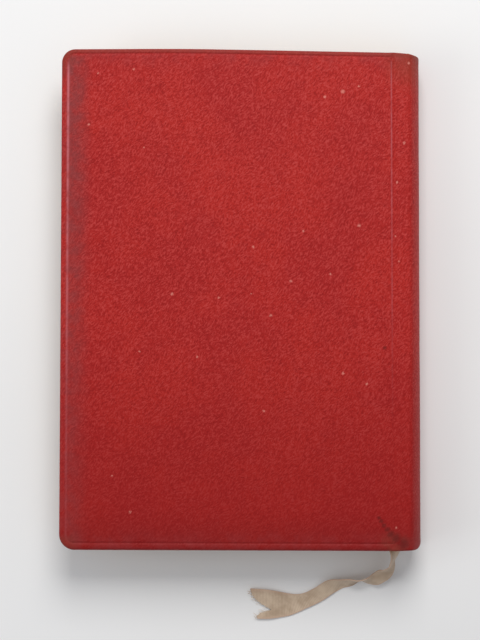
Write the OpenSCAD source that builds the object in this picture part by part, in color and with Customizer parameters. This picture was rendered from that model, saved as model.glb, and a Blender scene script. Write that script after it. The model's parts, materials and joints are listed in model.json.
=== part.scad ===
// Small leather-bound prayer book with a ribbon marker, lying closed on its front cover.
// Millimetres. +X points to the spine, +Y to the head and +Z up. The origin is under the
// middle of the closed book, on the surface that it lies on.
// The two halves of the book mirror each other about its middle plane, so most sub-parts
// are drawn once, in the lower half, and placed by lower() or upper().

/* [Book] */
// Height of the covers, from tail to head
book_h = 140; // [125:1:155]
// Width of the closed book, from fore-edge to spine
book_w = 100.5; // [90:0.5:112]
// Thickness of the closed book
book_t = 15; // [14:0.5:17]
// Gap between the two halves, where the ribbon lies
opening_gap = 0.3; // [0.28:0.01:0.4]

/* [Covers] */
// Thickness of the leather
leather_t = 0.6; // [0.5:0.05:0.7]
// Thickness of the board where the leather is turned in over it
board_t = 0.7; // [0.6:0.05:0.8]
// Thickness of the turned-in leather inside each cover
turn_in_t = 0.4; // [0.3:0.05:0.5]
// Width of the turned-in leather
turn_in_w = 9; // [7:0.5:12]
// Radius of the fore-edge corner at the head
head_corner_r = 3.8; // [3:0.1:5]
// Radius of the fore-edge corner at the tail
tail_corner_r = 4.3; // [3:0.1:5]
// Thickness of one endpaper leaf
paper_t = 0.1; // [0.08:0.01:0.12]
// Gap on each side of a flyleaf
leaf_gap = 0.15; // [0.12:0.01:0.2]

/* [Tooled lines] */
// Width of each blind line
line_w = 0.5; // [0.3:0.05:0.7]
// Depth of each blind line
line_d = 0.12; // [0.05:0.01:0.2]
// Distance of the line from the fore-edge
fore_line = 1.9; // [1.5:0.05:3]
// Distance of the lines from the head and tail edges
end_line = 1.25; // [1.2:0.05:3]

/* [Spine] */
// How far the rounded spine stands out beyond its shoulders
spine_round = 3; // [2.5:0.1:3.5]
// Outer radius of the leather over each shoulder
shoulder_r = 2; // [1.9:0.05:2.4]
// Distance from the spine in to the crease where each cover bends
joint_w = 7.9; // [7.5:0.1:9]
// Radius of the leather's corners at the two ends of the spine
spine_corner_r = 1.8; // [1:0.1:2.5]
// Gap in the leather at each crease
crease_gap = 0.3; // [0.2:0.05:0.4]
// Thickness of the paper lining under the spine leather
lining_t = 0.425; // [0.3:0.005:0.5]
// Thickness of the mull cloth under the lining
mull_t = 0.15; // [0.1:0.01:0.2]
// Thickness of the sewing tapes
tape_t = 0.2; // [0.15:0.01:0.25]
// Width of each sewing tape
tape_w = 6; // [4:0.5:8]
// Thickness of the sewing thread
thread_d = 0.2; // [0.15:0.01:0.22]

/* [Text block] */
// Distance that the covers stand out beyond the leaves
square_w = 2; // [1.5:0.1:2.5]
// Radius of the leaves' corners at the fore-edge
leaf_corner_r = 3.2; // [2:0.1:4]
// Thickness of the headbands
band_d = 1.2; // [0.8:0.1:1.4]

/* [Ribbon] */
// Width of the ribbon marker
ribbon_w = 4.2; // [3:0.1:5]
// Thickness of the ribbon between the leaves
ribbon_t = 0.14; // [0.08:0.01:0.2]
// Thickness of the free tail, with its curl
tail_t = 0.4; // [0.2:0.05:0.5]
// Distance from the middle of the ribbon to the spine, at the tail
ribbon_in = 7; // [5:0.05:10]
// The same distance at the head
ribbon_in_head = 4.1; // [4:0.05:8]

/* [Hidden] */

// Number of folded sections in each half of the text block
half_sections = 8;

mid_z = book_t / 2;
fore_x = -book_w / 2;
spine_x = book_w / 2;
crease_x = spine_x - joint_w;
end_y = book_h / 2;

// Levels in the lower half, measured from the middle plane
board_z = -mid_z + leather_t;
turn_in_z = board_z + board_t;
pastedown_z = turn_in_z + turn_in_t;
cover_t = leather_t + board_t + turn_in_t;
flyleaf_z = pastedown_z + paper_t + leaf_gap;
block_z = flyleaf_z + paper_t + leaf_gap;
gap_z = -opening_gap / 2;
section_t = (gap_z - block_z) / half_sections;

// The spine's section is an arc through its middle, rounded over the two shoulders
spine_r = (mid_z * mid_z + spine_round * spine_round) / (2 * spine_round);
spine_cx = spine_x - spine_r;
shoulder_z = mid_z - shoulder_r;
shoulder_x = spine_cx + sqrt(pow(spine_r - shoulder_r, 2) - pow(shoulder_z, 2));

// Depths of the layers under the spine's outer face
mull_in = leather_t + lining_t;
sewn_in = mull_in + mull_t + 0.05;
tape_in = sewn_in + thread_d;
fold_in = tape_in + tape_t;
fold_r = spine_r - fold_in;

leaf_end_y = end_y - square_w;
leaf_fore_x = fore_x + square_w;
leaf_w = fold_x(block_z) - leaf_fore_x;
lining_end_y = end_y - leather_t - 0.1;
tape_ys = [-35, 0, 35];
kettle_ys = [-60, 60];

// Middle line of the ribbon's free tail, from the leaves to the swallow-tailed end
tail_route = [
    [43.25, -68, 7.4], [43.25, -69.5, 7.3], [43.25, -71, 7], [43, -72.5, 6.5],
    [42.5, -74, 5.8], [42, -75.5, 5], [41, -77, 4.2], [39.5, -78, 3.5],
    [38, -79, 2.9], [36, -79.5, 2.5], [33.5, -79.5, 2.2], [31, -80, 1.8],
    [28, -80.5, 1.3], [25, -81.5, 0.9], [22, -83.5, 0.5], [19, -85, 0.4],
    [16, -86, 0.3], [13, -86.5, 0.3], [9.5, -86.5, 0.4], [6, -86.5, 0.5],
    [2, -86, 0.6]
];

$fn = 96;

// Where a fold lies on the rounded spine, at a height from the middle plane
function fold_x(z) = spine_cx + sqrt(fold_r * fold_r - z * z);

// Unit vector along v
function unit(v) = v / norm(v);

// Direction of the tail's route at point i
function tail_dir(i) = unit(
    tail_route[min(i + 1, len(tail_route) - 1)] - tail_route[max(i - 1, 0)]
);

// Level direction across the ribbon at point i
function tail_across(i) = i == 0 ? [-1, 0, 0] : unit(cross(tail_dir(i), [0, 0, 1]));

// One flattened eight-sided ring of the tail, square to the route at its first point
function tail_ring(i) = [
    for (a = [22.5:45:360])
        tail_route[i]
        + tail_across(i) * cos(a) * ribbon_w / 2
        + (i == 0 ? [0, 0, 1] : cross(tail_across(i), tail_dir(i))) * sin(a) * tail_t / 2
];

module lower() {
    translate([0, 0, mid_z]) children();
}

module upper() {
    translate([0, 0, mid_z]) mirror([0, 0, 1]) children();
}

// Extrudes a section drawn in X and Z along Y
module along_y(length) {
    rotate([90, 0, 0]) linear_extrude(height = length, center = true) children();
}

// Plan of a sheet with two rounded corners at the fore-edge
module sheet_plan(left, right, end, head_r, tail_r) {
    translate([left, tail_r - end]) square([right - left, 2 * end - head_r - tail_r]);
    translate([left + tail_r, -end]) square([right - left - tail_r, tail_r + 1]);
    translate([left + head_r, end - head_r - 1]) square([right - left - head_r, head_r + 1]);
    translate([left + head_r, end - head_r]) circle(head_r);
    translate([left + tail_r, tail_r - end]) circle(tail_r);
}

// Plan of one cover, inset by the same distance all round
module cover_plan(inset, right) {
    sheet_plan(
        fore_x + inset, right, end_y - inset,
        max(head_corner_r - inset, 0.6), max(tail_corner_r - inset, 0.6)
    );
}

// Cover-sized slab with full-round edges on its three free sides
module rolled_slab(thick, right) {
    r = thick / 2;
    linear_extrude(height = thick) cover_plan(r, right);
    translate([fore_x + r, 0, r]) {
        length = book_h - head_corner_r - tail_corner_r;
        translate([0, (tail_corner_r - head_corner_r) / 2, 0])
            rotate([90, 0, 0]) cylinder(h = length, r = r, center = true);
    }
    for (side = [-1, 1]) {
        corner_r = side > 0 ? head_corner_r : tail_corner_r;
        translate([fore_x + corner_r, side * (end_y - r), r])
            rotate([0, 90, 0]) cylinder(h = right - fore_x - corner_r, r = r);
        translate([fore_x + corner_r, side * (end_y - corner_r), r])
            rotate([0, 0, side > 0 ? 90 : 180])
                rotate_extrude(angle = 90) translate([corner_r - r, 0]) circle(r);
    }
}

// Blind lines pressed into the outer face along the three free sides
module tooled_lines() {
    right = crease_x - crease_gap / 2;
    length = right - fore_x - fore_line;
    translate([fore_x + fore_line, end_line - end_y, -mid_z - 1])
        cube([line_w, book_h - 2 * end_line, 1 + line_d]);
    for (side = [-1, 1])
        translate([fore_x + fore_line, side * (end_y - end_line - line_w / 2) - line_w / 2, -mid_z - 1])
            cube([length + 1, line_w, 1 + line_d]);
}

// Leather of one cover: outer face, rolled edges and turn-ins, hollow for the board
module cover_leather() {
    right = crease_x - crease_gap / 2;
    color([0.66, 0.15, 0.14]) difference() {
        translate([0, 0, -mid_z]) rolled_slab(cover_t, right);
        translate([0, 0, board_z])
            linear_extrude(height = board_t) cover_plan(cover_t / 2, right - 1);
        translate([0, 0, board_z + 0.1])
            linear_extrude(height = cover_t) cover_plan(turn_in_w, right + 1);
        tooled_lines();
    }
}

// Board of one cover, thinner where the turn-ins lie over it
module cover_board() {
    right = crease_x - crease_gap / 2 - 1;
    color([0.62, 0.55, 0.44]) {
        translate([0, 0, board_z])
            linear_extrude(height = board_t) cover_plan(cover_t / 2, right);
        translate([0, 0, board_z + 0.1])
            linear_extrude(height = board_t + turn_in_t - 0.1) cover_plan(turn_in_w, right);
    }
}

// Endpaper leaf pasted inside the cover, over the turn-ins
module pastedown() {
    color([0.91, 0.87, 0.78])
        translate([0, 0, pastedown_z])
            linear_extrude(height = paper_t) cover_plan(2.2, crease_x - crease_gap);
}

// Free endpaper leaf between the cover and the text block
module flyleaf() {
    color([0.93, 0.9, 0.82])
        translate([0, 0, flyleaf_z])
            linear_extrude(height = paper_t)
                sheet_plan(
                    leaf_fore_x, crease_x - crease_gap, leaf_end_y, leaf_corner_r, leaf_corner_r
                );
}

// Section of the spine in X and Z, inset by the same depth all round
module spine_section(inset) {
    reach = spine_r * 2;
    slope = shoulder_z / (shoulder_x - spine_cx);
    intersection() {
        translate([spine_cx, 0]) circle(spine_r - inset);
        translate([spine_cx, 0]) polygon([[0, 0], [reach, -reach * slope], [reach, reach * slope]]);
    }
    for (side = [-1, 1])
        translate([shoulder_x, side * shoulder_z]) circle(shoulder_r - inset);
    translate([spine_cx - 10, inset - mid_z])
        square([shoulder_x - spine_cx + 10, book_t - 2 * inset]);
}

// Lower half of a layer of the spine between two depths, right of the crease
module spine_layer(depth, thick) {
    intersection() {
        difference() {
            spine_section(depth);
            spine_section(depth + thick);
        }
        translate([crease_x + crease_gap / 2, -mid_z])
            square([joint_w, mid_z + gap_z]);
    }
}

// Leather over half of the spine, with a lip turned over the lining at head and tail
module spine_leather() {
    color([0.62, 0.13, 0.13]) intersection() {
        union() {
            along_y(book_h) spine_layer(0, leather_t);
            for (side = [-1, 1])
                translate([0, side * (end_y - leather_t / 2), 0])
                    along_y(leather_t) spine_layer(0, mull_in + mull_t);
        }
        translate([0, 0, -mid_z]) linear_extrude(height = mid_z)
            mirror([1, 0])
                sheet_plan(-spine_x, -crease_x, end_y, spine_corner_r, spine_corner_r);
    }
}

// Paper lining glued under the spine leather
module spine_lining() {
    color([0.72, 0.62, 0.46]) along_y(2 * lining_end_y) spine_layer(leather_t, lining_t);
}

// Open-weave cloth glued over the sewn folds
module mull() {
    color([0.85, 0.82, 0.74]) along_y(2 * lining_end_y) spine_layer(mull_in, mull_t);
}

// Angle on the spine's arc of a height from the middle plane
function arc_angle(r, z) = asin(z / r);

// Piece of a ring round the spine's centre, in the lower half, from the drawn section
module arc_sweep(r) {
    start = arc_angle(r, block_z + 0.2);
    stop = arc_angle(r, gap_z - 0.1);
    translate([spine_cx, 0, 0]) rotate([90, 0, 0]) rotate([0, 0, start])
        rotate_extrude(angle = stop - start) children();
}

// Three linen tapes that the sections are sewn round
module tapes() {
    color([0.86, 0.8, 0.66])
        for (y = tape_ys)
            translate([0, y, 0]) arc_sweep(fold_r)
                translate([fold_r, -tape_w / 2]) square([tape_t, tape_w]);
}

// Linen thread: one stitch over each tape in each section, and a row of kettle stitches
// near each end of the folds
module sewing() {
    stitch_r = spine_r - sewn_in - thread_d / 2;
    color([0.9, 0.86, 0.76]) {
        for (y = tape_ys, k = [0:half_sections - 1]) {
            z = block_z + (k + 0.5) * section_t;
            translate([spine_cx + sqrt(pow(stitch_r, 2) - z * z), y, z])
                rotate([90, 0, 0]) cylinder(h = tape_w + 1, d = thread_d, center = true, $fn = 24);
        }
        for (y = kettle_ys)
            translate([0, y, 0]) arc_sweep(fold_r)
                translate([fold_r + thread_d / 2 + 0.02, 0]) circle(d = thread_d, $fn = 24);
    }
}

// Striped silk band over the ends of the folds: side is 1 at the head, -1 at the tail
module end_band(side) {
    color([0.78, 0.62, 0.3])
        translate([0, side * (leaf_end_y + band_d / 2 + 0.02), 0]) arc_sweep(fold_r)
            translate([fold_r - band_d / 2, 0]) circle(d = band_d, $fn = 32);
}

// One folded section of leaves; k counts in from the cover. The fore-edge follows the
// rounding of the spine, and the outermost section fills the shoulder.
module leaves(k) {
    z0 = block_z + k * section_t;
    z1 = z0 + section_t;
    zm = (z0 + z1) / 2;
    fold_end = spine_cx + sqrt(pow(fold_r - section_t / 2 - 0.02, 2) - zm * zm);
    fore0 = fold_x(z0) - leaf_w;
    fore1 = fold_x(z1) - leaf_w;
    color([0.86, 0.74, 0.5]) intersection() {
        along_y(2 * leaf_end_y) {
            polygon([[fore0, z0], [fold_end, z0], [fold_end, z1], [fore1, z1]]);
            translate([fold_end, zm]) circle(d = section_t, $fn = 32);
            if (k == 0) intersection() {
                spine_section(fold_in);
                translate([crease_x + crease_gap + 0.2, -mid_z])
                    square([shoulder_x - crease_x - 1, mid_z + zm]);
            }
        }
        translate([0, 0, -mid_z]) linear_extrude(height = mid_z)
            sheet_plan(fore0, spine_x, leaf_end_y, leaf_corner_r, leaf_corner_r);
    }
}

// Section n of the whole book, counted from the front cover
module section(n) {
    if (n <= half_sections) lower() leaves(n - 1);
    else upper() leaves(2 * half_sections - n);
}

// Ribbon pressed between the leaves, from the head of the spine to the tail edge
module ribbon_inner() {
    tail_x = spine_x - ribbon_in;
    head_x = spine_x - ribbon_in_head;
    color([0.74, 0.64, 0.52])
        translate([0, 0, mid_z + gap_z + 0.01]) linear_extrude(height = ribbon_t)
            polygon([
                [tail_x - ribbon_w / 2, -leaf_end_y], [tail_x + ribbon_w / 2, -leaf_end_y],
                [head_x + ribbon_w / 2, leaf_end_y + 0.4], [head_x - ribbon_w / 2, leaf_end_y + 0.4]
            ]);
}

// Free tail of the ribbon, a flattened tube along its route
module ribbon_tail() {
    count = len(tail_route);
    points = [for (i = [0:count - 1]) each tail_ring(i)];
    walls = [
        for (i = [0:count - 2], j = [0:7])
            each [
                [i * 8 + j, i * 8 + (j + 1) % 8, (i + 1) * 8 + j],
                [i * 8 + (j + 1) % 8, (i + 1) * 8 + (j + 1) % 8, (i + 1) * 8 + j]
            ]
    ];
    start_cap = [for (j = [7:-1:0]) j];
    end_cap = [for (j = [0:7]) (count - 1) * 8 + j];
    color([0.74, 0.64, 0.52])
        polyhedron(points = points, faces = concat([start_cap], walls, [end_cap]), convexity = 6);
}

lower() cover_leather();  // front_cover_leather
lower() cover_board();  // front_cover_board
lower() pastedown();  // front_pastedown
lower() flyleaf();  // front_flyleaf
upper() cover_leather();  // rear_cover_leather
upper() cover_board();  // rear_cover_board
upper() pastedown();  // rear_pastedown
upper() flyleaf();  // rear_flyleaf
lower() spine_leather();  // spine_leather_lower
upper() spine_leather();  // spine_leather_upper
lower() spine_lining();  // spine_lining_lower
upper() spine_lining();  // spine_lining_upper
lower() mull();  // mull_lower
upper() mull();  // mull_upper
lower() tapes();  // tapes_lower
upper() tapes();  // tapes_upper
lower() sewing();  // sewing_lower
upper() sewing();  // sewing_upper
lower() end_band(1);  // headband_lower
upper() end_band(1);  // headband_upper
lower() end_band(-1);  // tailband_lower
upper() end_band(-1);  // tailband_upper
section(1);  // section_01
section(2);  // section_02
section(3);  // section_03
section(4);  // section_04
section(5);  // section_05
section(6);  // section_06
section(7);  // section_07
section(8);  // section_08
section(9);  // section_09
section(10);  // section_10
section(11);  // section_11
section(12);  // section_12
section(13);  // section_13
section(14);  // section_14
section(15);  // section_15
section(16);  // section_16
ribbon_inner();
ribbon_tail();
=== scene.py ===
"""Looks of a small leather-bound prayer book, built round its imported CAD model.

Shapes are worked out in millimetres, in the model's own frame: +X points to the spine, +Y to the
head and +Z up. The book lies on its front cover, so the rear cover is on top. Most pieces are
drawn in a half frame, where h is the height above the middle plane of the book: the upper half
stands at MID + h, and the lower half is the same shape at MID - h.
"""

import json
import math

import bmesh
import bpy
import numpy as np
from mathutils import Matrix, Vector, noise


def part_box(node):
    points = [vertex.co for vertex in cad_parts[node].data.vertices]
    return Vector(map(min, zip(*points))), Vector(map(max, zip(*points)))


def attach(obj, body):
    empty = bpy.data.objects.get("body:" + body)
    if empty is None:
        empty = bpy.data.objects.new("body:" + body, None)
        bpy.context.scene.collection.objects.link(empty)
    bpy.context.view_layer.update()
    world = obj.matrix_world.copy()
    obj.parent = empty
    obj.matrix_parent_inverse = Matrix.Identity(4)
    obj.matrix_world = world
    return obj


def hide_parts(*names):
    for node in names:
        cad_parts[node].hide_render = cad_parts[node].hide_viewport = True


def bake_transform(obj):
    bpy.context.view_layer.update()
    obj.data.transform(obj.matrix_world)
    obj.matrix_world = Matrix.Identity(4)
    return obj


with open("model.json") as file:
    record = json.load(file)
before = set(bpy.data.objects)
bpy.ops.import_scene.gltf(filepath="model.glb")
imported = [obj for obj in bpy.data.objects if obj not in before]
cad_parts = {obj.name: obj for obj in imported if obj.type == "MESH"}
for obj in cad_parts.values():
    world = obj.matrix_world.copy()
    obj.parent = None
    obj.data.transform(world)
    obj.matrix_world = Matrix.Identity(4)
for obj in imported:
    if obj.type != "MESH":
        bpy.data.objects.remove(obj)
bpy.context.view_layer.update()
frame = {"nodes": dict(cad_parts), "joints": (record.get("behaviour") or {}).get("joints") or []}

MM = 0.001

# ---- sizes from the frame


def low(node):
    """Lowest corner of a node's box, in millimetres."""
    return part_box(node)[0] / MM


def high(node):
    """Highest corner of a node's box, in millimetres."""
    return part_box(node)[1] / MM


JOINTS = {j["name"]: Vector(j["pos_m"]) / MM for j in frame["joints"]}

FORE = low("rear_cover_leather").x
END = high("rear_cover_leather").y
TOP = high("rear_cover_leather").z
SPINE = high("spine_leather_upper").x
MID = TOP / 2
CREASE = JOINTS["rear_cover_hinge"].x
COVER_T = TOP - low("rear_cover_leather").z
BOARD_END = high("rear_cover_board").x
PAPER_Z = high("front_pastedown").z
LEAF_FORE = low("front_flyleaf").x
LEAF_END = high("front_flyleaf").y
LEAF_Z = (low("front_flyleaf").z + high("front_flyleaf").z) / 2
BLOCK_Z = low("section_02").z - (high("section_02").z - low("section_02").z)
BLOCK_TOP = high("section_08").z
SECTIONS = 8
SECTION_T = (BLOCK_TOP - BLOCK_Z) / SECTIONS

# Shape of the leather over the spine: an arc between two shoulders
LEATHER_T = 0.6
LIP_T = 1.175
SPINE_ROUND = 3.0
SPINE_R = (MID**2 + SPINE_ROUND**2) / (2 * SPINE_ROUND)
SPINE_CX = SPINE - SPINE_R
SHOULDER_R = 2.0
SHOULDER_H = MID - SHOULDER_R
SHOULDER_X = SPINE_CX + math.sqrt((SPINE_R - SHOULDER_R) ** 2 - SHOULDER_H**2)
SHOULDER_ANGLE = math.atan2(SHOULDER_H, SHOULDER_X - SPINE_CX)
SEAM = 45.5  # X where the leather of a cover meets the spine's
FOLD_R = 9.25
LEAF_ROOT = 46.0  # X where the leaves start to bend into their folds

# Corners, edges and lines of the covers
HEAD_CORNER = 3.8
TAIL_CORNER = 4.3
LEAF_CORNER = 3.2
SPINE_CORNER = 1.8
TURN_IN = 8.95
DEEPEST_LINE = 0.24
ROLL = 1.15
HEAD_LINE = 1.46
TAIL_LINE = 2.0
FORE_LINE = 1.75

RIBBON_W = 4.2
RIBBON_T = 0.22

# What a noise adds to a position on average, so that marks stay in place under it
NOISE_SHIFT = 0.5

# ---- small helpers


def smooth(t):
    t = np.clip(t, 0, 1)
    return t * t * (3 - 2 * t)


def ramp(x, x0, x1, y0, y1):
    """y0 before x0 and y1 after x1, with a smooth change between them."""
    return y0 + (y1 - y0) * smooth((x - x0) / (x1 - x0))


def waves(x, y, length, seed):
    """Smooth noise from about -1 to 1, with features of that length."""
    x, y = np.broadcast_arrays(np.asarray(x, float), np.asarray(y, float))
    flat = [
        noise.noise(Vector((a / length, b / length, seed * 7.3)))
        for a, b in zip(x.ravel(), y.ravel())
    ]
    return np.array(flat).reshape(x.shape)


def spaced(*stops):
    """Grid lines: stops are (start, step) pairs, and the last is (end, None)."""
    lines = []
    for (start, step), (stop, _) in zip(stops, stops[1:]):
        count = max(1, round((stop - start) / step))
        lines += list(np.linspace(start, stop, count, endpoint=False))
    return np.array(lines + [stops[-1][0]])


def crossed(a, b):
    """Grid of the values of a by those of b."""
    return np.meshgrid(a, b, indexing="ij")


def mirrored(half):
    """Grid lines on both sides of 0, from those on one side."""
    return np.concatenate([-half[::-1], half[1:]])


def make(name, verts, faces, material, body=None, smooth_deg=40, **attributes):
    """One closed mesh piece. verts are in millimetres."""
    mesh = bpy.data.meshes.new(name)
    verts = np.asarray(verts, float) * MM
    mesh.from_pydata(verts.tolist(), [], faces)
    for key, values in {"rest_co": verts, **attributes}.items():
        values = np.asarray(values, np.float32)
        vector = values.ndim == 2
        layer = mesh.attributes.new(key, "FLOAT_VECTOR" if vector else "FLOAT", "POINT")
        layer.data.foreach_set("vector" if vector else "value", values.ravel())
    bm = bmesh.new()
    bm.from_mesh(mesh)
    bmesh.ops.recalc_face_normals(bm, faces=bm.faces)
    bm.to_mesh(mesh)
    bm.free()
    mesh.shade_smooth()
    mesh.set_sharp_from_angle(angle=math.radians(smooth_deg))
    materials = material if isinstance(material, list) else [material]
    for m in materials:
        mesh.materials.append(m)
    piece = bpy.data.objects.new(name, mesh)
    bpy.context.scene.collection.objects.link(piece)
    if body:
        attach(piece, body)
    return piece


def slab(outer, inner, shared=False):
    """Closed slab between two grids of points, which meet wherever shared is true."""
    n, m = outer.shape[:2]
    shared = np.broadcast_to(shared, (n, m))
    top = np.arange(n * m).reshape(n, m)
    bottom = np.where(shared, top, top + n * m)
    verts = np.concatenate([outer.reshape(-1, 3), inner.reshape(-1, 3)])
    quads = []

    def sheet(index, flip):
        a, b, c, d = index[:-1, :-1], index[1:, :-1], index[1:, 1:], index[:-1, 1:]
        order = (a, d, c, b) if flip else (a, b, c, d)
        quads.append(np.stack([o.ravel() for o in order], 1))

    def wall(t, u):
        quads.append(np.stack([t[:-1], t[1:], u[1:], u[:-1]], 1))

    sheet(top, False)
    sheet(bottom, True)
    wall(top[0], bottom[0])
    wall(top[-1], bottom[-1])
    wall(top[:, 0], bottom[:, 0])
    wall(top[:, -1], bottom[:, -1])
    faces = []
    for quad in np.concatenate(quads).tolist():
        face = [v for i, v in enumerate(quad) if v != quad[i - 1]]
        if len(set(face)) > 2:
            faces.append(face)
    used = np.unique(np.concatenate([top.ravel(), bottom.ravel()]))
    place = np.zeros(2 * n * m, int)
    place[used] = np.arange(len(used))
    return verts[used], [[int(place[v]) for v in face] for face in faces], used


def on_slab(used, outer, inner=None):
    """Values for the vertices of a slab, from a grid of values for each of its two sheets."""
    inner = outer if inner is None else inner
    return np.concatenate([outer.ravel(), inner.ravel()])[used]


def tube_faces(rings, sides):
    """Faces of a closed tube whose vertices run ring by ring."""
    faces = []
    for start in range(0, (rings - 1) * sides, sides):
        for j in range(sides):
            a, b = start + j, start + (j + 1) % sides
            faces.append([a, b, b + sides, a + sides])
    last = (rings - 1) * sides
    return faces + [list(range(sides))[::-1], [last + j for j in range(sides)]]


def bend_over(piece):
    """Bakes the piece's placement into its mesh."""
    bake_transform(piece)


def rear(points, side=1):
    """From the half frame to the upper half, or to the lower half if side is -1."""
    out = np.array(points, float)
    out[..., 2] = MID + side * out[..., 2]
    return out


def front(points):
    return rear(points, -1)


HALVES = {"lower": front, "upper": rear}

# ---- materials


class Shader:
    """Adds and links the nodes of one material."""

    def __init__(self, name, roughness, specular=0.5):
        self.material = bpy.data.materials.new(name)
        self.material.use_nodes = True
        self.tree = self.material.node_tree
        self.tree.nodes.clear()
        self.bsdf = self.add("BsdfPrincipled")
        out = self.add("OutputMaterial")
        self.tree.links.new(self.bsdf.outputs[0], out.inputs[0])
        self.set(self.bsdf, "Roughness", roughness)
        self.set(self.bsdf, "Specular IOR Level", specular)

    def set(self, node, socket, value):
        target = node.inputs[socket]
        if isinstance(value, bpy.types.NodeSocket):
            self.tree.links.new(value, target)
        elif isinstance(value, tuple) and len(value) == 3 and target.type == "RGBA":
            target.default_value = (*value, 1)
        else:
            target.default_value = value

    def add(self, kind, inputs=None, **settings):
        node = self.tree.nodes.new("ShaderNode" + kind)
        for key, value in settings.items():
            setattr(node, key, value)
        for socket, value in (inputs or {}).items():
            self.set(node, socket, value)
        return node

    def place(self, moved=True):
        """Position in millimetres at rest, which a moving piece carries along."""
        if moved:
            found = self.add("Attribute", attribute_name="rest_co").outputs["Vector"]
        else:
            found = self.add("TexCoord").outputs["Object"]
        return self.scaled(found, (1000, 1000, 1000))

    def scaled(self, vector, by):
        return self.add("VectorMath", {0: vector, 1: by}, operation="MULTIPLY").outputs[0]

    def turned(self, vector, degrees, by=(1, 1, 1)):
        """Turned about Z and then stretched along the new axes."""
        turn = (0, 0, math.radians(degrees))
        return self.scaled(self.add("Mapping", {"Vector": vector, "Rotation": turn}).outputs[0], by)

    def noise(self, vector, length, detail=2.0, rough=0.5):
        """Noise from 0 to 1 with features of that length in millimetres."""
        inputs = {"Vector": vector, "Scale": 1 / length, "Detail": detail, "Roughness": rough}
        return self.add("TexNoise", inputs).outputs["Fac"]

    def value(self, name):
        return self.add("Attribute", attribute_name=name).outputs["Fac"]

    def math(self, operation, a, b=0.0, clamp=False):
        return self.add("Math", {0: a, 1: b}, operation=operation, use_clamp=clamp).outputs[0]

    def times(self, a, b):
        return self.math("MULTIPLY", a, b)

    def plus(self, a, b):
        """Sum of two vectors."""
        return self.add("VectorMath", {0: a, 1: b}, operation="ADD").outputs[0]

    def range(self, value, x0, x1, y0=0.0, y1=1.0):
        inputs = {"Value": value, "From Min": x0, "From Max": x1, "To Min": y0, "To Max": y1}
        return self.add("MapRange", inputs, interpolation_type="SMOOTHSTEP").outputs[0]

    def mix(self, a, b, factor):
        node = self.add("Mix", {0: factor, 6: a, 7: b}, data_type="RGBA")
        return node.outputs[2]

    def bump(self, height, distance, strength=1.0, normal=None):
        """Bump of that height in millimetres."""
        inputs = {"Height": height, "Distance": distance * MM, "Strength": strength}
        if normal is not None:
            inputs["Normal"] = normal
        return self.add("Bump", inputs).outputs[0]

    def finish(self, colour, normal=None, roughness=None, **extra):
        self.set(self.bsdf, "Base Color", colour)
        if normal is not None:
            self.set(self.bsdf, "Normal", normal)
        if roughness is not None:
            self.set(self.bsdf, "Roughness", roughness)
        for key, value in extra.items():
            self.set(self.bsdf, key.replace("_", " "), value)
        return self.material


# Places where the leather of the rear cover is rubbed to a light speck: x, y and radius
SPECKS = [
    (-30, 64, 0.3), (-42.5, 48.5, 0.3), (-40, 63, 0.2), (-27, 42, 0.2), (23.5, 56, 0.35),
    (28.5, 57.5, 0.5), (33, 59, 0.3), (45.5, 43, 0.35), (43.5, 32, 0.3), (17.5, 18.5, 0.3),
    (33, 20, 0.4), (3.5, 14, 0.35), (25, 6.5, 0.3), (14, 4.5, 0.35), (43, 17, 0.25),
    (44, 10, 0.25), (-19, 1, 0.35), (-6, 0, 0.3), (3, 1, 0.25), (8.5, -5, 0.35),
    (-12, -16.5, 0.3), (-28, -15, 0.3), (28.5, -21, 0.35), (35, -24, 0.3), (6.5, -31.5, 0.35),
    (-30.5, -59.5, 0.35), (47, 65.5, 0.35), (43, -63.5, 0.25), (-35.5, -49.5, 0.25),
]
# Places where it is stained dark
STAINS = [
    (38.2, -60.8, 0.45), (38.9, -61.8, 0.55), (39.6, -62.9, 0.6), (40.6, -64.0, 0.7),
    (41.5, -65.3, 0.9), (43.0, -66.6, 1.2), (45.0, -67.9, 1.5), (40.0, -14.0, 0.45),
]
# Corners worn to brown
WORN_CORNERS = [(FORE, END), (FORE, -END), (SPINE, END), (CREASE, -END)]


def spots(s, place, marks, soft, height=TOP):
    """1 in each of the marks and 0 outside them."""
    total = None
    for x, y, radius in marks:
        ends = {0: place, 1: (x, y, height)}
        gap = s.add("VectorMath", ends, operation="DISTANCE").outputs["Value"]
        spot = s.range(gap, radius * (1 - soft), radius * (1 + soft), 1.0, 0.0)
        total = spot if total is None else s.math("MAXIMUM", total, spot)
    return total


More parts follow.
